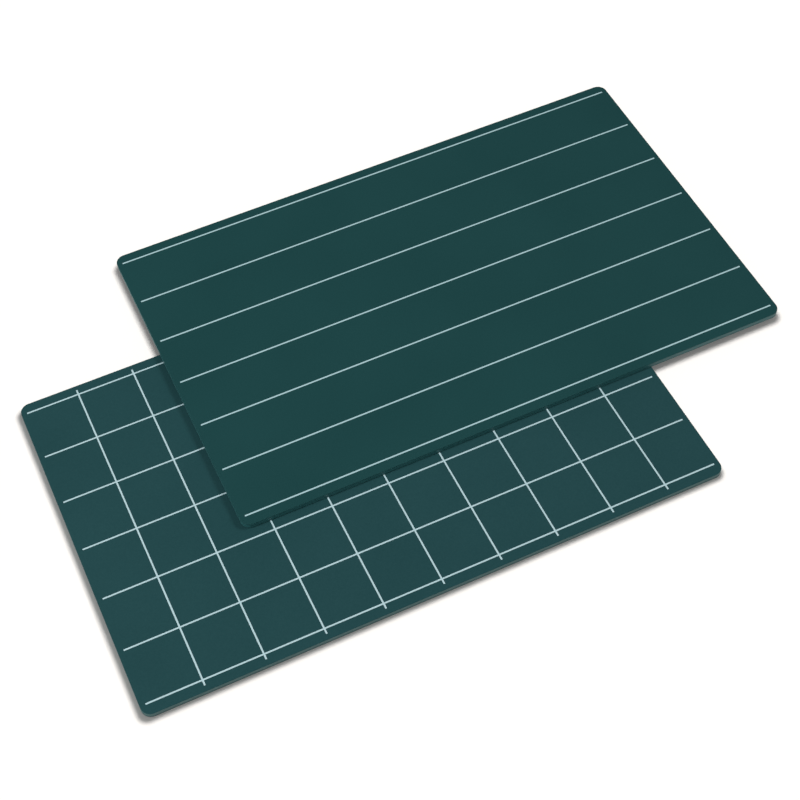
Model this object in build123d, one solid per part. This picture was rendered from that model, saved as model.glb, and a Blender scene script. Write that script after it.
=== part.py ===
from build123d import *
import os

# A set of two thin chalk-writing boards. The squares board lies on the table, and the lined board
# lies flat on it, moved to the right and towards the back. Each board is a hardboard core between
# a writing face and a back face, with a coat round its cut edge and white print on its front.
# X runs along the ruled lines, Y towards the far edge, Z up. The origin is the middle of the
# squares board's underside. All sizes are in millimetres.

# Print layout, shared by both boards
cell = 36.0             # side of a square, and the space from one ruled line to the next
columns = 10            # squares along the board, the outer ones closed by the board's own edge
rows = 6                # squares, or writing spaces, from the far line to the near line
outer_square = 36.4     # from the left or right edge of the board to the first cross line
edge_strip = 7.0        # from the far or near edge of the board to the middle of the first line
print_margin = 3.5      # from the end of a line to the edge of the board
line_width = 1.0        # width of a printed line
ink_height = 0.05       # height of the ink film above the writing face

# Layers of a board
back_sheet = 0.5        # thickness of the back face
core_sheet = 3.0        # thickness of the hardboard core
face_sheet = 0.5        # thickness of the writing face
edge_film = 0.3         # thickness of the coat on the cut edge of the core

# Outline
corner_radius = 6.2     # rounding of the four corners
arris_radius = 0.4      # easing of the outer edges of both faces
largest_easing = 0.9    # share of a sheet's thickness that an easing may take

# How the lined board lies on the squares board
shift_right = 92.0      # along X, from centre to centre
shift_back = 85.5       # along Y, from centre to centre

board_width = 2 * outer_square + (columns - 2) * cell
board_depth = 2 * edge_strip + rows * cell
core_bottom = back_sheet
face_bottom = core_bottom + core_sheet
board_top = face_bottom + face_sheet
line_heights = [board_depth / 2 - edge_strip - cell * k for k in range(rows + 1)]
cross_places = [outer_square + cell * k - board_width / 2 for k in range(columns - 1)]


def outline(inset):
    """The board's rounded rectangle, drawn in from the edge by an inset."""
    return RectangleRounded(board_width - 2 * inset, board_depth - 2 * inset, corner_radius - inset)


def layer(profile, bottom, thickness):
    """A flat layer of a profile, from its underside upwards."""
    return Pos(0, 0, bottom) * extrude(profile, thickness)


def eased(face, thickness):
    """The sheet that a face belongs to, with the outer edge of that face rounded over."""
    return fillet(face.edges(), min(arris_radius, largest_easing * thickness))


def writing_face():
    sheet = layer(outline(0), face_bottom, face_sheet)
    return eased(sheet.faces().sort_by(Axis.Z)[-1], face_sheet)


def back_face():
    sheet = layer(outline(0), 0, back_sheet)
    return eased(sheet.faces().sort_by(Axis.Z)[0], back_sheet)


def core():
    return layer(outline(edge_film), core_bottom, core_sheet)


def edge_coat():
    return layer(outline(0) - outline(edge_film), core_bottom, core_sheet)


def ruled_line(height):
    """One printed line along the board, as a flat profile."""
    return Pos(0, height) * Rectangle(board_width - 2 * print_margin, line_width)


def cross_line(place):
    """One printed line across the board, as a flat profile."""
    return Pos(place, 0) * Rectangle(line_width, board_depth - 2 * print_margin)


def squares_print():
    """The crossing lines, printed as one connected film."""
    grid = Sketch() + [ruled_line(height) for height in line_heights]
    grid += [cross_line(place) for place in cross_places]
    return layer(grid, board_top, ink_height)


def panel():
    """The pieces that both boards are made of, at the squares board's place."""
    return {
        "core": core(),
        "writing_face": writing_face(),
        "back_face": back_face(),
        "edge_coat": edge_coat(),
    }


nodes = {}
for name, piece in panel().items():
    nodes["squares_board_" + name] = piece
nodes["squares_print"] = squares_print()

# The lined board rests on the ink of the squares board.
lined_place = Pos(shift_right, shift_back, board_top + ink_height)
for name, piece in panel().items():
    nodes["lined_board_" + name] = lined_place * piece
for number, height in enumerate(line_heights, start=1):
    nodes[f"ruled_line_{number}"] = lined_place * layer(ruled_line(height), board_top, ink_height)

os.makedirs("parts", exist_ok=True)
for name, piece in nodes.items():
    export_step(piece, f"parts/{name}.step")
    size = piece.bounding_box().size
    print(f"{name}: {size.X:.2f} x {size.Y:.2f} x {size.Z:.2f} mm")
print(f"board {board_width:.1f} x {board_depth:.1f} x {board_top:.1f} mm, {len(nodes)} nodes")
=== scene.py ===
# %% [markdown]
# # A set of two chalk-writing boards
# One board is printed with squares and lies on a white table. The other is printed with ruled lines and
# lies on the first, moved to the right and towards the back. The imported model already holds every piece
# at its real size and place. This lesson models the pieces again with smooth roundings, gives each one
# its finish, and then lights and photographs the set.
# Lengths are in metres. X runs along the ruled lines, Y away from the viewer and Z up.

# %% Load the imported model
import math
import bmesh
import bpy
from mathutils import Matrix, Vector


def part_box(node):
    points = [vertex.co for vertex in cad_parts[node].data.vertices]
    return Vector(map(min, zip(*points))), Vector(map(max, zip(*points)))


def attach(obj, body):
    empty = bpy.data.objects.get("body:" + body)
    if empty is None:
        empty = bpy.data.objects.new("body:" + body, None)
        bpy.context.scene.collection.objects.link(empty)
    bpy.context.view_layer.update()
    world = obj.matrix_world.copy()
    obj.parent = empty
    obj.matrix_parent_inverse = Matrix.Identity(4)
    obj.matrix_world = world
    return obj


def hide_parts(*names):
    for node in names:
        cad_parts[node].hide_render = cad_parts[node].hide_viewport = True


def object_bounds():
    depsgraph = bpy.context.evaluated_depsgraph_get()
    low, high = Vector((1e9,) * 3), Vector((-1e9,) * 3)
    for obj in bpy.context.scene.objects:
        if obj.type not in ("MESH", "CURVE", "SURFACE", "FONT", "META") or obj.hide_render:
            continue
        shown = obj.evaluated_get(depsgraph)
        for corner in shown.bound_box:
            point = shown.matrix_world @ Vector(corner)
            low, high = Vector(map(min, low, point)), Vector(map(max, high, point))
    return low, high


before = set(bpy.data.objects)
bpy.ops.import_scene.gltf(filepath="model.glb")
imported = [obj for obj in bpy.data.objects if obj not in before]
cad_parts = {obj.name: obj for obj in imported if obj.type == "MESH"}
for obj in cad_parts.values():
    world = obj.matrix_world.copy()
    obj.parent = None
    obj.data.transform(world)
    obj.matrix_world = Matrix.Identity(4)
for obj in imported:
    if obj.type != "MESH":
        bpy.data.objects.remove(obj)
cad_low, cad_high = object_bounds()
MM = 0.001
print(len(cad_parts), "packed pieces")
print("packed model, mm:", [round(side, 1) for side in (cad_high - cad_low) / MM])

# %% [markdown]
# ## Making a flat sheet with bmesh operators
# Every piece of a board is a thin flat sheet with a rounded outline. One quad, stretched to the size of
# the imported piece, becomes that outline when its four corner vertices are bevelled, and an extrusion
# gives it thickness. Bevelling all the edges of a cube at once would be shorter, but it would give the
# corners of the board and its eased edges one radius. The sizes are read from the boxes of the packed
# pieces. Only the small roundings can't be read there, and they are named where they are used.

# %% Helpers for the outline and the thickness of a sheet
CORNER_STEPS = 16
HALF_METRE = 0.5               # create_grid asks for half a side, so this makes a quad of one metre


def outline(low, high, corner):
    """A new bmesh with one flat face: the plan of the box, at its underside, with rounded corners."""
    sheet = bmesh.new()
    bmesh.ops.create_grid(sheet, x_segments=1, y_segments=1, size=HALF_METRE)
    bmesh.ops.scale(sheet, vec=(high.x - low.x, high.y - low.y, 1), verts=sheet.verts)
    middle = ((low.x + high.x) / 2, (low.y + high.y) / 2, low.z)
    bmesh.ops.translate(sheet, vec=middle, verts=sheet.verts)
    bmesh.ops.bevel(
        sheet, geom=sheet.verts[:], offset=corner, offset_type="OFFSET", affect="VERTICES",
        segments=CORNER_STEPS, profile=0.5, material=-1)
    return sheet


def thicken(sheet, thickness):
    """Extrudes the flat sheet upwards and closes it."""
    grown = bmesh.ops.extrude_face_region(sheet, geom=sheet.faces[:])
    raised = [part for part in grown["geom"] if isinstance(part, bmesh.types.BMVert)]
    bmesh.ops.translate(sheet, vec=(0, 0, thickness), verts=raised)
    bmesh.ops.recalc_face_normals(sheet, faces=sheet.faces[:])


# %% Helpers for rounding the edges of a sheet
SAME_PLACE = 1e-7                  # metres, two points nearer than this count as one
SHARP_ANGLE = math.radians(50)     # a wall meets a flat face at more, two steps of a rounding at less


def level_edges(sheet, height):
    """The edges at one height where the walls of a closed sheet meet its flat face."""
    found = []
    for edge in sheet.edges:
        at_height = all(abs(corner.co.z - height) < SAME_PLACE for corner in edge.verts)
        if at_height and edge.calc_face_angle(0) > SHARP_ANGLE:
            found.append(edge)
    return found


def round_over(sheet, edges, radius, steps):
    """Rounds these edges of a closed sheet."""
    bmesh.ops.bevel(
        sheet, geom=edges, offset=radius, offset_type="OFFSET", affect="EDGES",
        segments=steps, profile=0.5, material=-1)


# %% [markdown]
# ## From a bmesh to a piece
# A finished piece is an object of its own. It rides on its board, so that it moves with it, and it
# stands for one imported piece, which is then hidden. Flat shading would show each step of a rounding as
# a facet, and smooth shading alone would bend the light on the large flat faces beside it. So all faces
# are smooth, sharp edges are marked, and a Weighted Normal modifier lets the large faces stay flat.

# %% Helper for finished pieces
pieces = {}


def finish_piece(sheet, name, board, node):
    """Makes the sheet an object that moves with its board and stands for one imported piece."""
    for face in sheet.faces:
        face.smooth = True
    for edge in sheet.edges:
        edge.smooth = edge.calc_face_angle(0) < SHARP_ANGLE
    mesh = bpy.data.meshes.new(name)
    sheet.to_mesh(mesh)
    sheet.free()
    piece = bpy.data.objects.new(name, mesh)
    bpy.context.scene.collection.objects.link(piece)
    flat_faces = piece.modifiers.new("flat faces stay flat", "WEIGHTED_NORMAL")
    flat_faces.keep_sharp = True
    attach(piece, board)
    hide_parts(node)
    pieces[node] = piece
    print(f"{name}: {len(mesh.polygons)} faces")


# %% [markdown]
# ## Face sheets
# The writing face is a thin green sheet pressed onto the front of the core, and a second sheet on the
# back keeps the board from warping. The outer edges of both are eased so that they don't chip or
# scratch. A Bevel node in the material could fake the easing, but the edge catches the light and shows
# in the outline, so it is a real rounding.

# %% Model the writing faces and back faces
BOARDS = ("squares_board", "lined_board")
CORNER = 6.2 * MM              # rounding of a board's four corners
ARRIS = 0.4 * MM               # easing of a sheet's outer edge
ARRIS_STEPS = 6


def face_sheet(node, front):
    """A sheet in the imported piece's box, eased at its top on the front and at its foot on the back."""
    low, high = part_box(node)
    sheet = outline(low, high, CORNER)
    thicken(sheet, high.z - low.z)
    outside = high.z if front else low.z
    round_over(sheet, level_edges(sheet, outside), ARRIS, ARRIS_STEPS)
    return sheet


for board in BOARDS:
    writing = f"{board}_writing_face"
    finish_piece(face_sheet(writing, True), f"{board}_chalk_sheet", board, writing)
    back = f"{board}_back_face"
    finish_piece(face_sheet(back, False), f"{board}_back_sheet", board, back)

# %% [markdown]
# ## Edge coat
# The sawn edge of the core is sealed with a green enamel, a narrow band between the two sheets. A ribbon
# with a Solidify modifier could make it. Here the outline is inset by the film's thickness and its
# middle face deleted before the ring is extruded, because that needs little beyond the helpers above.
# Wet paint draws back a little at its two rims, which leaves a fine groove against each sheet: a small
# rounding of the outer rims makes that groove.

# %% Model the edge coats
COAT_LIP = 0.05 * MM           # rounding of the enamel where it meets the two sheets
COAT_LIP_STEPS = 3
WALL_RISE = 0.5                # a wall's normal rises less than this, a flat face's normal more
COAT_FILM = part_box("squares_board_core")[0].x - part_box("squares_board_edge_coat")[0].x


def outer_rims(ring, centre):
    """The level edges of the ring's outer walls, at its foot and at its top."""
    rims = []
    for wall in ring.faces:
        outwards = wall.calc_center_median() - centre
        upright = abs(wall.normal.z) < WALL_RISE
        if upright and wall.normal.dot(outwards) > 0:
            for edge in wall.edges:
                start, end = edge.verts
                if abs(start.co.z - end.co.z) < SAME_PLACE:
                    rims.append(edge)
    return rims


for board in BOARDS:
    node = f"{board}_edge_coat"
    low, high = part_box(node)
    ring = outline(low, high, CORNER)
    bmesh.ops.inset_individual(ring, faces=ring.faces[:], thickness=COAT_FILM, use_even_offset=True)
    middle = max(ring.faces, key=lambda face: face.calc_area())
    bmesh.ops.delete(ring, geom=[middle], context="FACES")
    thicken(ring, high.z - low.z)
    round_over(ring, outer_rims(ring, (low + high) / 2), COAT_LIP, COAT_LIP_STEPS)
    finish_piece(ring, f"{board}_enamel_edge", board, node)
print(f"enamel film: {COAT_FILM / MM:.2f} mm")

# %% [markdown]
# ## Ruled lines
# The lines are white screen-printing ink, a film of a twentieth of a millimetre. They could be painted
# in the material of the face, but then they would have no height and no finish of their own. So each
# ruled line is a small sheet. Its ends and its shoulders are rounded, as wet ink settles.

# %% Model the ruled lines
INK_CORNER = 0.12 * MM         # rounding of the corners at a line's ends
INK_SHOULDER = 0.02 * MM       # rounding of the film's top edge
INK_STEPS = 2
RULED_LINES = [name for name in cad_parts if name.startswith("ruled_line_")]


def finish_ink(film, name, board, node):
    """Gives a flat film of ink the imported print's height and round shoulders, and makes it a piece."""
    low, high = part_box(node)
    thicken(film, high.z - low.z)
    round_over(film, level_edges(film, high.z), INK_SHOULDER, INK_STEPS)
    finish_piece(film, name, board, node)


for node in RULED_LINES:
    low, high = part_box(node)
    finish_ink(outline(low, high, INK_CORNER), node.replace("ruled_line", "ink_line"), "lined_board", node)

# %% [markdown]
# ## Squares
# The squares are printed in one pass, so the ink is no thicker where two lines cross. Separate sheets
# would overlap there, so this print is one connected film: one quad is cut along both sides of every
# line with bisect_plane, and the faces that lie in no line are deleted. The lines along the board lie
# as the ruled lines do on the other board. Those across it are as far apart, counted from the middle.

# %% Place the lines of the squares
line_low, line_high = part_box("ruled_line_1")
LINE_WIDTH = line_high.y - line_low.y
CELL = line_low.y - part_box("ruled_line_2")[0].y
face_low, face_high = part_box("squares_board_writing_face")
columns = round((face_high.x - face_low.x) / CELL)
centre_x = (face_low.x + face_high.x) / 2
across = [centre_x + CELL * (column - columns / 2) for column in range(1, columns)]
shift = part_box("lined_board_core")[0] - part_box("squares_board_core")[0]
along = []
for node in RULED_LINES:
    line_low, line_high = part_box(node)
    along.append((line_low.y + line_high.y) / 2 - shift.y)
print(f"squares of {CELL / MM:.1f} mm, lines of {LINE_WIDTH / MM:.2f} mm")
print(f"{len(across)} lines across, {len(along)} along")

# %% Model the squares print
low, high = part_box("squares_print")
film = outline(low, high, INK_CORNER)
cuts = [(Vector((place, 0, 0)), Vector((1, 0, 0))) for place in across]
cuts += [(Vector((0, place, 0)), Vector((0, 1, 0))) for place in along]
for place, towards in cuts:
    for side in (-1, 1):
        everything = film.verts[:] + film.edges[:] + film.faces[:]
        bmesh.ops.bisect_plane(
            film, geom=everything, dist=SAME_PLACE,
            plane_co=place + towards * side * LINE_WIDTH / 2, plane_no=towards)
bare = []
for face in film.faces:
    middle = face.calc_center_median()
    in_cross_line = any(abs(middle.x - place) < LINE_WIDTH / 2 for place in across)
    in_long_line = any(abs(middle.y - place) < LINE_WIDTH / 2 for place in along)
    if not (in_cross_line or in_long_line):
        bare.append(face)
bmesh.ops.delete(film, geom=bare, context="FACES")
finish_ink(film, "ink_squares", "squares_board", "squares_print")

# %% [markdown]
# ## Building a material from nodes
# Materials could be put together by hand in the Shader Editor, but code keeps every value in sight. One
# small function adds a node, sets its values and links its inputs. Colours are written as sRGB hex
# values, as a colour picker shows them, and one function turns them into the linear light that Blender
# works in. Patterns read Object coordinates, which are metres here, so a pattern with a real size of
# some millimetres has a scale of one over that size.

# %% Helpers for colours and patterns
NOISE_LOW = 0.3                # most values of a noise texture lie between these two
NOISE_HIGH = 0.7
NOISE_RANGE = {"From Min": NOISE_LOW, "From Max": NOISE_HIGH}


def linear(hex_colour):
    """A colour like #2a4d4f as linear red, green, blue and alpha."""
    channels = []
    for start in (1, 3, 5):
        value = int(hex_colour[start:start + 2], 16) / 255
        channels.append(value / 12.92 if value <= 0.04045 else ((value + 0.055) / 1.055) ** 2.4)
    return (*channels, 1.0)


def per_metre(millimetres):
    """The scale of a pattern whose features are this many millimetres apart."""
    return 1 / (millimetres * MM)


print("mid grey #808080 in linear light:", round(linear("#808080")[0], 3))


# %% Helpers for nodes and materials
def add_node(tree, kind, inputs=None, **settings):
    """Adds a node. An input is set to a value, or linked where a socket is given."""
    node = tree.nodes.new(kind)
    for name, value in settings.items():
        setattr(node, name, value)
    for name, value in (inputs or {}).items():
        if isinstance(value, bpy.types.NodeSocket):
            tree.links.new(value, node.inputs[name])
        else:
            node.inputs[name].default_value = value
    return node


def new_material(name):
    """An empty material and its node tree."""
    material = bpy.data.materials.new(name)
    material.use_nodes = True
    material.node_tree.nodes.clear()
    return material, material.node_tree


def shown(node):
    """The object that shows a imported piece: the one modelled above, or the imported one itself."""
    return pieces.get(node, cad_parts[node])


def give(material, *nodes):
    """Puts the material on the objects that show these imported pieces."""
    for node in nodes:
        shown(node).data.materials.clear()
        shown(node).data.materials.append(material)
    print(material.name, "on", ", ".join(nodes))


# %% [markdown]
# ## Chalk-writing laminate
# The front is a pressed laminate with a fine mineral grit in its top layer, which is what takes the
# chalk. To the eye it is a deep blue-green that stays nearly the same from every side, with almost no
# shine: the pores between the grit trap most of the gloss. Chalk that was wiped off leaves the colour a
# little uneven over a hand's width. One plain green would look like plastic, so a fine noise gives the
# grit and a wide one the wiped patches. The lined board is a shade deeper than the squares board.

# %% Chalk-writing laminate
GRIT_MM = 0.9                  # real grit is about 0.1 mm, drawn coarser so that it shows at all
GRIT_SHARE = 0.3               # how far a grain moves the colour towards one shade or the other
GRIT_HEIGHT = 0.05 * MM
GRIT_STRENGTH = 0.15
WIPED_MM = 70.0                # width of the patches that a cloth leaves
LAMINATE_ROUGHNESS = 0.62
LAMINATE_SPREAD = 0.05         # a patch is rougher or smoother by up to this
LAMINATE_GLOSS = 0.10          # the pores leave about a fifth of a smooth plastic's gloss
LAMINATE_IOR = 1.5


def chalk_laminate(name, deep, pale):
    """Matt gritty laminate between two shades of green."""
    material, tree = new_material(name)
    place = add_node(tree, "ShaderNodeTexCoord")
    grit = add_node(tree, "ShaderNodeTexNoise", {
        "Vector": place.outputs["Object"], "Scale": per_metre(GRIT_MM), "Detail": 3.0, "Roughness": 0.6})
    wiped = add_node(tree, "ShaderNodeTexNoise", {
        "Vector": place.outputs["Object"], "Scale": per_metre(WIPED_MM), "Detail": 2.0})
    patches = add_node(tree, "ShaderNodeClamp", {
        "Value": wiped.outputs["Fac"], "Min": NOISE_LOW, "Max": NOISE_HIGH})
    speckle = add_node(tree, "ShaderNodeMapRange", {
        "Value": grit.outputs["Fac"], **NOISE_RANGE, "To Min": -GRIT_SHARE, "To Max": GRIT_SHARE})
    tone = add_node(tree, "ShaderNodeMath", {
        0: patches.outputs["Result"], 1: speckle.outputs["Result"]}, operation="ADD", use_clamp=True)
    green = add_node(tree, "ShaderNodeValToRGB", {"Fac": tone.outputs["Value"]})
    green.color_ramp.elements[0].color = linear(deep)
    green.color_ramp.elements[1].color = linear(pale)
    worn = add_node(tree, "ShaderNodeMapRange", {
        "Value": wiped.outputs["Fac"], **NOISE_RANGE,
        "To Min": LAMINATE_ROUGHNESS + LAMINATE_SPREAD, "To Max": LAMINATE_ROUGHNESS - LAMINATE_SPREAD})
    tooth = add_node(tree, "ShaderNodeBump", {
        "Height": grit.outputs["Fac"], "Strength": GRIT_STRENGTH, "Distance": GRIT_HEIGHT})
    surface = add_node(tree, "ShaderNodeBsdfPrincipled", {
        "Base Color": green.outputs["Color"], "Roughness": worn.outputs["Result"], "IOR": LAMINATE_IOR,
        "Specular IOR Level": LAMINATE_GLOSS, "Normal": tooth.outputs["Normal"]})
    add_node(tree, "ShaderNodeOutputMaterial", {"Surface": surface.outputs["BSDF"]})
    return material


give(chalk_laminate("chalk_laminate_squares", "#1b4043", "#23484b"), "squares_board_writing_face")
give(chalk_laminate("chalk_laminate_lined", "#143d3e", "#1c4546"), "lined_board_writing_face")

# %% [markdown]
# ## Enamel on the edges
# The edge coat is a brushed or rolled enamel in a green near that of the faces. On the squares board
# its green is painted paler and greyer than on the lined one: that is painted light, standing in for the
# light that the white table throws on that board's front edge. It is a satin paint, smoother than the
# laminate, so seen at a slant it takes up the white of the table as a soft pale band. Paint over a sawn
# edge is never quite even: a soft waviness some millimetres long shows in its colour and its shine.
# Colour, roughness and bump could each have a noise, but all three come from how thick the paint lies,
# so they share one.

# %% Edge enamel
ENAMEL_WAVE_MM = 4.0           # length of a wave in the paint
ENAMEL_WAVE_HEIGHT = 0.02 * MM
ENAMEL_WAVE_STRENGTH = 0.1
ENAMEL_ROUGHNESS = 0.52
ENAMEL_SPREAD = 0.04           # the paint is smoother or rougher by up to this
ENAMEL_IOR = 1.45


def edge_enamel(name, deep, pale):
    """Satin paint on the sawn edge, between two shades of green."""
    material, tree = new_material(name)
    place = add_node(tree, "ShaderNodeTexCoord")
    wave = add_node(tree, "ShaderNodeTexNoise", {
        "Vector": place.outputs["Object"], "Scale": per_metre(ENAMEL_WAVE_MM), "Detail": 2.0})
    green = add_node(tree, "ShaderNodeValToRGB", {"Fac": wave.outputs["Fac"]})
    green.color_ramp.elements[0].color = linear(deep)
    green.color_ramp.elements[1].color = linear(pale)
    satin = add_node(tree, "ShaderNodeMapRange", {
        "Value": wave.outputs["Fac"], **NOISE_RANGE,
        "To Min": ENAMEL_ROUGHNESS - ENAMEL_SPREAD, "To Max": ENAMEL_ROUGHNESS + ENAMEL_SPREAD})
    ripple = add_node(tree, "ShaderNodeBump", {
        "Height": wave.outputs["Fac"], "Strength": ENAMEL_WAVE_STRENGTH, "Distance": ENAMEL_WAVE_HEIGHT})
    surface = add_node(tree, "ShaderNodeBsdfPrincipled", {
        "Base Color": green.outputs["Color"], "Roughness": satin.outputs["Result"], "IOR": ENAMEL_IOR,
        "Normal": ripple.outputs["Normal"]})
    add_node(tree, "ShaderNodeOutputMaterial", {"Surface": surface.outputs["BSDF"]})
    return material


# The squares board's paler, greyer enamel is painted light from the white table, not a paint of its own.
give(edge_enamel("edge_enamel_squares_painted_floor_light", "#3e5e5e", "#466666"), "squares_board_edge_coat")
give(edge_enamel("edge_enamel_lined", "#1e4f51", "#245759"), "lined_board_edge_coat")

# %% [markdown]
# ## Back sheet
# The back is a plain balancing sheet in the same green, without the writing grit: smoother to the
# touch, with the faint pebbled skin that a press leaves. It could share the laminate, but then the
# turned board would look as if it had two fronts.

# %% Balancing sheet
BACK_DEEP = "#17393a"
BACK_PALE = "#1d4344"
PEBBLE_MM = 1.6                # width of a pebble in the skin
PEBBLE_HEIGHT = 0.08 * MM
PEBBLE_STRENGTH = 0.25
HOLLOW_ROUGHNESS = 0.42        # in the hollows of the skin
PEBBLE_ROUGHNESS = 0.52        # on its pebbles
BACK_GLOSS = 0.35              # the skin leaves about two thirds of a smooth sheet's gloss
BACK_IOR = 1.5
backing, tree = new_material("balancing_sheet")
place = add_node(tree, "ShaderNodeTexCoord")
pebble = add_node(tree, "ShaderNodeTexNoise", {
    "Vector": place.outputs["Object"], "Scale": per_metre(PEBBLE_MM), "Detail": 2.0})
green = add_node(tree, "ShaderNodeValToRGB", {"Fac": pebble.outputs["Fac"]})
green.color_ramp.elements[0].color = linear(BACK_DEEP)
green.color_ramp.elements[1].color = linear(BACK_PALE)
pressed = add_node(tree, "ShaderNodeMapRange", {
    "Value": pebble.outputs["Fac"], **NOISE_RANGE,
    "To Min": HOLLOW_ROUGHNESS, "To Max": PEBBLE_ROUGHNESS})
skin = add_node(tree, "ShaderNodeBump", {
    "Height": pebble.outputs["Fac"], "Strength": PEBBLE_STRENGTH, "Distance": PEBBLE_HEIGHT})
surface = add_node(tree, "ShaderNodeBsdfPrincipled", {
    "Base Color": green.outputs["Color"], "Roughness": pressed.outputs["Result"], "IOR": BACK_IOR,
    "Specular IOR Level": BACK_GLOSS, "Normal": skin.outputs["Normal"]})
add_node(tree, "ShaderNodeOutputMaterial", {"Surface": surface.outputs["BSDF"]})
give(backing, "squares_board_back_face", "lined_board_back_face")

# %% [markdown]
# ## White printing ink
# Screen ink is a matt white film. Where the mesh of the screen laid it thinner, the green below shows
# through a little, so the white is cool and not quite even along a line. Real transparency would cost
# much and change little in so thin a film, so two whites stand for thin and full ink. The whites of the
# squares are a little paler than those of the ruled lines.

# %% White screen-printing ink
INK_MESH_MM = 0.8              # real screens have about 0.1 mm between threads, drawn coarser to show
INK_THIN_ROUGHNESS = 0.65
INK_FULL_ROUGHNESS = 0.55
INK_GLOSS = 0.25               # a matt film has about half of a smooth one's gloss
INK_IOR = 1.48


def screen_ink(name, thin, full):
    """Matt printing ink, from a thin white to a full one."""
    material, tree = new_material(name)
    place = add_node(tree, "ShaderNodeTexCoord")
    screen = add_node(tree, "ShaderNodeTexNoise", {
        "Vector": place.outputs["Object"], "Scale": per_metre(INK_MESH_MM), "Detail": 2.0})
    cover = add_node(tree, "ShaderNodeValToRGB", {"Fac": screen.outputs["Fac"]})
    cover.color_ramp.elements[0].position = NOISE_LOW
    cover.color_ramp.elements[0].color = linear(thin)
    cover.color_ramp.elements[1].position = NOISE_HIGH
    cover.color_ramp.elements[1].color = linear(full)
    dry = add_node(tree, "ShaderNodeMapRange", {
        "Value": screen.outputs["Fac"], **NOISE_RANGE,
        "To Min": INK_THIN_ROUGHNESS, "To Max": INK_FULL_ROUGHNESS})
    surface = add_node(tree, "ShaderNodeBsdfPrincipled", {
        "Base Color": cover.outputs["Color"], "Roughness": dry.outputs["Result"], "IOR": INK_IOR,
        "Specular IOR Level": INK_GLOSS})
    add_node(tree, "ShaderNodeOutputMaterial", {"Surface": surface.outputs["BSDF"]})
    return material


give(screen_ink("white_ink_squares", "#abc7cc", "#b9d3d8"), "squares_print")
give(screen_ink("white_ink_lined", "#a2c2c7", "#afced2"), *RULED_LINES)

# %% [markdown]
# ## Hardboard core
# The core is closed in on all sides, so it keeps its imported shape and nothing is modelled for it. It
# still gets its own finish, because someone may take the boards apart: brown pressed wood fibre, dull
# and slightly mottled. A Voronoi pattern would look like chips, so a noise with some distortion gives
# the tangle of the fibres.

# %% Hardboard
FIBRE_DARK = "#5a4029"
FIBRE_PALE = "#7a5a3c"
FIBRE_MM = 1.2                 # width of a tuft of fibres
FIBRE_HEIGHT = 0.1 * MM
FIBRE_STRENGTH = 0.4
FIBRE_ROUGHNESS = (0.75, 0.9)  # in the dark hollows, and on the pale fibres
FIBRE_IOR = 1.47
hardboard, tree = new_material("pressed_hardboard")
place = add_node(tree, "ShaderNodeTexCoord")
fibre = add_node(tree, "ShaderNodeTexNoise", {
    "Vector": place.outputs["Object"], "Scale": per_metre(FIBRE_MM), "Detail": 5.0, "Distortion": 0.8})
brown = add_node(tree, "ShaderNodeValToRGB", {"Fac": fibre.outputs["Fac"]})
brown.color_ramp.elements[0].color = linear(FIBRE_DARK)
brown.color_ramp.elements[1].color = linear(FIBRE_PALE)
dull = add_node(tree, "ShaderNodeMapRange", {
    "Value": fibre.outputs["Fac"], "To Min": FIBRE_ROUGHNESS[0], "To Max": FIBRE_ROUGHNESS[1]})
fuzz = add_node(tree, "ShaderNodeBump", {
    "Height": fibre.outputs["Fac"], "Strength": FIBRE_STRENGTH, "Distance": FIBRE_HEIGHT})
surface = add_node(tree, "ShaderNodeBsdfPrincipled", {
    "Base Color": brown.outputs["Color"], "Roughness": dull.outputs["Result"], "IOR": FIBRE_IOR,
    "Normal": fuzz.outputs["Normal"]})
add_node(tree, "ShaderNodeOutputMaterial", {"Surface": surface.outputs["BSDF"]})
give(hardboard, "squares_board_core", "lined_board_core")

# %% [markdown]
# ## Table
# The boards lie on a white table, one large quad. It lies a hair below the lowest face, so that the two
# never share a plane. A plain white floor under soft light comes out pale grey. More light would wash
# out its shadows, so for the rays that the camera sees, straight, mirrored or through glass, the table
# also glows a little, which lifts it to white and keeps the shadow.

# %% White table
TABLE_SIZE = 20.0              # metres
TABLE_GAP = 0.1 * MM
sheet = bmesh.new()
bmesh.ops.create_grid(sheet, x_segments=1, y_segments=1, size=TABLE_SIZE / 2)
bmesh.ops.translate(sheet, vec=(0, 0, cad_low.z - TABLE_GAP), verts=sheet.verts)
mesh = bpy.data.meshes.new("white_table")
sheet.to_mesh(mesh)
sheet.free()
table = bpy.data.objects.new("white_table", mesh)
bpy.context.scene.collection.objects.link(table)
print(f"table: {TABLE_SIZE:.0f} m wide, {TABLE_GAP / MM:.1f} mm below the boards")

# %% Finish of the table
TABLE_WHITE = "#f3efeb"
TABLE_GLOW = 0.09              # of white, and only for the rays that the camera sees
white, tree = new_material("white_table_top")
path = add_node(tree, "ShaderNodeLightPath")
straight = add_node(tree, "ShaderNodeMath", {
    0: path.outputs["Is Camera Ray"], 1: path.outputs["Is Glossy Ray"]}, operation="MAXIMUM")
seen = add_node(tree, "ShaderNodeMath", {
    0: straight.outputs["Value"], 1: path.outputs["Is Transmission Ray"]}, operation="MAXIMUM")
strength = add_node(tree, "ShaderNodeMath", {
    0: seen.outputs["Value"], 1: TABLE_GLOW}, operation="MULTIPLY")
matt = add_node(tree, "ShaderNodeBsdfDiffuse", {"Color": linear(TABLE_WHITE)})
glow = add_node(tree, "ShaderNodeEmission", {"Strength": strength.outputs["Value"]})
both = add_node(tree, "ShaderNodeAddShader", {0: matt.outputs["BSDF"], 1: glow.outputs["Emission"]})
add_node(tree, "ShaderNodeOutputMaterial", {"Surface": both.outputs["Shader"]})
table.data.materials.append(white)
print(f"{white.name}: {TABLE_WHITE} with a glow of {TABLE_GLOW}")

# %% [markdown]
# ## Room
# The room is a soft dome: white near the horizon, where it meets the table, and dim above. An evenly
# bright dome would be simpler, but its ceiling would mirror in the faces and wash out their deep green.

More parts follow.
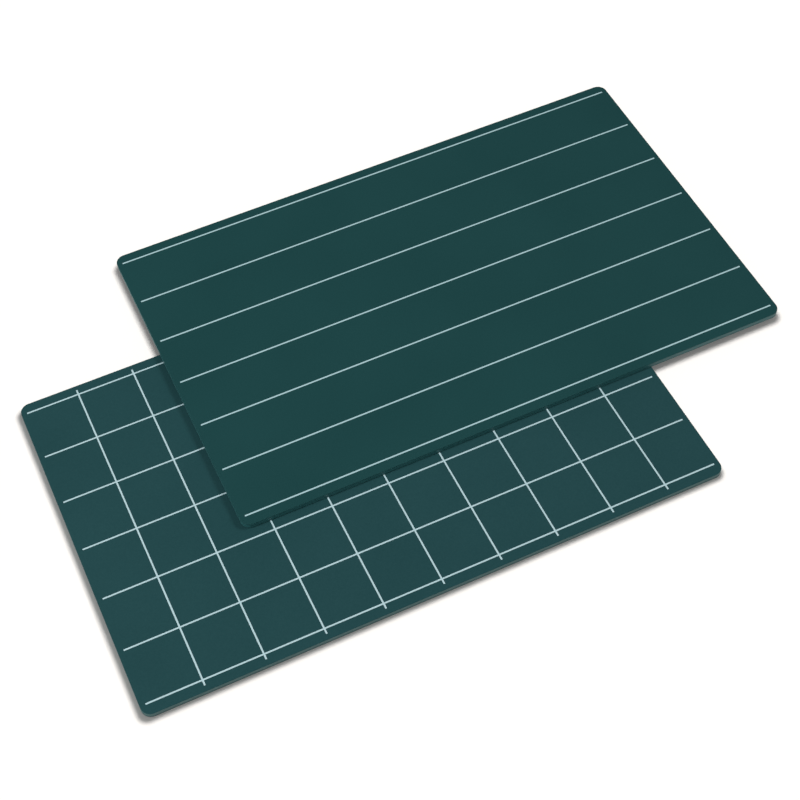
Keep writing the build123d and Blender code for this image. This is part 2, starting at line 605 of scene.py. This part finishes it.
# %% World
HORIZON = 1.0                  # brightness near the table, where 1 is white
OVERHEAD = 0.2                 # brightness of the ceiling
HORIZON_TOP = 0.1              # height on a dome of radius 1 at which the horizon's white ends
OVERHEAD_FOOT = 0.25           # and at which the dim ceiling starts
world = bpy.data.worlds.new("studio")
world.use_nodes = True
tree = world.node_tree
tree.nodes.clear()
place = add_node(tree, "ShaderNodeTexCoord")
axes = add_node(tree, "ShaderNodeSeparateXYZ", {"Vector": place.outputs["Generated"]})
dome = add_node(tree, "ShaderNodeValToRGB", {"Fac": axes.outputs["Z"]})
dome.color_ramp.elements[0].position = HORIZON_TOP
dome.color_ramp.elements[0].color = (HORIZON, HORIZON, HORIZON, 1)
dome.color_ramp.elements[1].position = OVERHEAD_FOOT
dome.color_ramp.elements[1].color = (OVERHEAD, OVERHEAD, OVERHEAD, 1)
room = add_node(tree, "ShaderNodeBackground", {"Color": dome.outputs["Color"]})
add_node(tree, "ShaderNodeOutputWorld", {"Surface": room.outputs["Background"]})
bpy.context.scene.world = world
print(f"room: {HORIZON} at the horizon, {OVERHEAD} overhead")

# %% [markdown]
# ## Lamps for the boards
# With the room, two lamps light the boards at a level at which a colour comes out about as it is
# written. A large square softbox on the left gives about half of the light on the faces. A broad
# parallel lamp from the right draws the shadow of the lined board on the squares board, along the lined
# board's left edge. One lamp could do both, but then that shadow would be too dark. Light linking
# leaves the table out of their light, because the table has a lamp of its own.

# %% Helpers for lamps
def add_lamp(name, kind, place, aim, **settings):
    """A lamp at a place, turned to shine at a point."""
    data = bpy.data.lights.new(name, kind)
    for setting, value in settings.items():
        setattr(data, setting, value)
    lamp = bpy.data.objects.new(name, data)
    bpy.context.scene.collection.objects.link(lamp)
    lamp.location = place
    lamp.rotation_euler = (place - aim).to_track_quat("Z", "Y").to_euler()
    return lamp


def light_group(name, members, state):
    """A collection for light linking that includes or excludes its members."""
    group = bpy.data.collections.new(name)
    for member in members:
        group.objects.link(member)
    for entry in group.collection_objects:
        entry.light_linking.link_state = state
    return group


# %% Softbox and key lamp
ORIGIN = Vector((0, 0, 0))     # middle of the squares board's underside, where both lamps point
SOFTBOX_PLACE = Vector((-2.42, -0.34, 2.27))
SOFTBOX_SIZE = 2.0             # metres, each side
SOFTBOX_POWER = 88.0           # watts
KEY_AZIMUTH = 100              # degrees from +Y towards +X
KEY_ELEVATION = 42             # degrees above the table
KEY_SOFTNESS = 20              # degrees that the lamp spans
KEY_SHARE = 0.3                # of the light at which a flat face shows its colour as it is written
softbox = add_lamp(
    "softbox", "AREA", SOFTBOX_PLACE, ORIGIN, energy=SOFTBOX_POWER, size=SOFTBOX_SIZE)
turn = math.radians(KEY_AZIMUTH)
rise = math.radians(KEY_ELEVATION)
towards_key = Vector((math.sin(turn) * math.cos(rise), math.cos(turn) * math.cos(rise), math.sin(rise)))
# Straight above, a parallel lamp of pi W/m2 shows a colour as it is written. At a slant it takes more.
key = add_lamp(
    "key_lamp", "SUN", towards_key, ORIGIN, energy=KEY_SHARE * math.pi / towards_key.z,
    angle=math.radians(KEY_SOFTNESS))
not_table = light_group("not_table", [table], "EXCLUDE")
softbox.light_linking.receiver_collection = not_table
key.light_linking.receiver_collection = not_table
print(f"softbox: {SOFTBOX_PLACE.length:.2f} m away, key lamp: {key.data.energy:.2f} W/m2")

# %% [markdown]
# ## Lamp for the table
# A round flat lamp hangs low over the boards, to the right of their middle and behind it. It lights
# only the table, and draws the narrow soft shadows in front of the boards and to their left. A parallel
# lamp would be even by itself, but it would leave the right and far edges without any shadow.
# A near lamp makes a bright pool, which its nodes even out. Constant falloff takes away the weakening
# with distance. A slanting ray also loses light where it leaves the flat lamp and again where it meets
# the table, each time by lamp height over ray length, so the square of the inverse makes up for both.
# The lined board reaches twice as high as the one below, and its shadow would be twice as wide. Only
# its back sheet throws a shadow here, so the shadows of both boards are about equally wide.

# %% Table lamp
TABLE_LAMP_PLACE = Vector((0.134, 0.117, 0.375))
TABLE_LAMP_SIZE = 0.34         # metres across
TABLE_LAMP_POWER = 8.8         # watts, which with the room and the glow make the table white
below_lamp = Vector((TABLE_LAMP_PLACE.x, TABLE_LAMP_PLACE.y, 0))
table_lamp = add_lamp(
    "table_lamp", "AREA", TABLE_LAMP_PLACE, below_lamp, energy=TABLE_LAMP_POWER,
    shape="DISK", size=TABLE_LAMP_SIZE, use_nodes=True)
tree = table_lamp.data.node_tree
tree.nodes.clear()
falloff = add_node(tree, "ShaderNodeLightFalloff", {"Strength": 1.0})
path = add_node(tree, "ShaderNodeLightPath")
slant = add_node(tree, "ShaderNodeMath", {
    0: path.outputs["Ray Length"], 1: TABLE_LAMP_PLACE.z}, operation="DIVIDE")
both_slants = add_node(tree, "ShaderNodeMath", {
    0: slant.outputs["Value"], 1: 2.0}, operation="POWER")
even = add_node(tree, "ShaderNodeMath", {
    0: falloff.outputs["Constant"], 1: both_slants.outputs["Value"]}, operation="MULTIPLY")
shine = add_node(tree, "ShaderNodeEmission", {"Strength": even.outputs["Value"]})
add_node(tree, "ShaderNodeOutputLight", {"Surface": shine.outputs["Emission"]})

# %% What the table lamp lights, and what throws no shadow
SHADOWLESS = ["lined_board_writing_face", "lined_board_edge_coat", "lined_board_core", *RULED_LINES]
only_table = light_group("only_table", [table], "INCLUDE")
table_lamp.light_linking.receiver_collection = only_table
no_shadow = light_group("no_shadow", [shown(node) for node in SHADOWLESS], "EXCLUDE")
table_lamp.light_linking.blocker_collection = no_shadow
print(f"table lamp: {TABLE_LAMP_PLACE.z:.3f} m up, {len(SHADOWLESS)} pieces throw no shadow from it")

# %% [markdown]
# ## Camera
# A tripod camera with a short telephoto lens looks down on the boards from the front left. Its place,
# the point that it looks at and its slight lean were found by matching the corners and the printed
# lines of the boards in a photo. A Track To constraint could aim it, but it would leave no room for the
# lean, so the turn is worked out here and set once.

# %% Camera
LENS = 74.55                   # millimetres
SENSOR = 36.0                  # millimetres across
CAMERA_PLACE = Vector((-193.88, -541.24, 811.49)) * MM
CAMERA_AIM = Vector((32.59, 18.94, 0)) * MM
CAMERA_LEAN = 3.494            # degrees, a turn about the line of sight
camera_data = bpy.data.cameras.new("camera")
camera_data.lens = LENS
camera_data.sensor_width = SENSOR
camera_data.sensor_fit = "HORIZONTAL"
camera = bpy.data.objects.new("camera", camera_data)
bpy.context.scene.collection.objects.link(camera)
backwards = CAMERA_PLACE - CAMERA_AIM
level = backwards.normalized().to_track_quat("Z", "Y").to_matrix()
leaning = level @ Matrix.Rotation(math.radians(-CAMERA_LEAN), 3, "Z")
camera.matrix_world = Matrix.Translation(CAMERA_PLACE) @ leaning.to_4x4()
bpy.context.scene.camera = camera
print(f"camera: {backwards.length / MM:.0f} mm from the point that it looks at")

# %% [markdown]
# ## Closing lines
# The Standard view keeps colours as they are written.

# %% View
bpy.context.scene.view_settings.view_transform = "Standard"
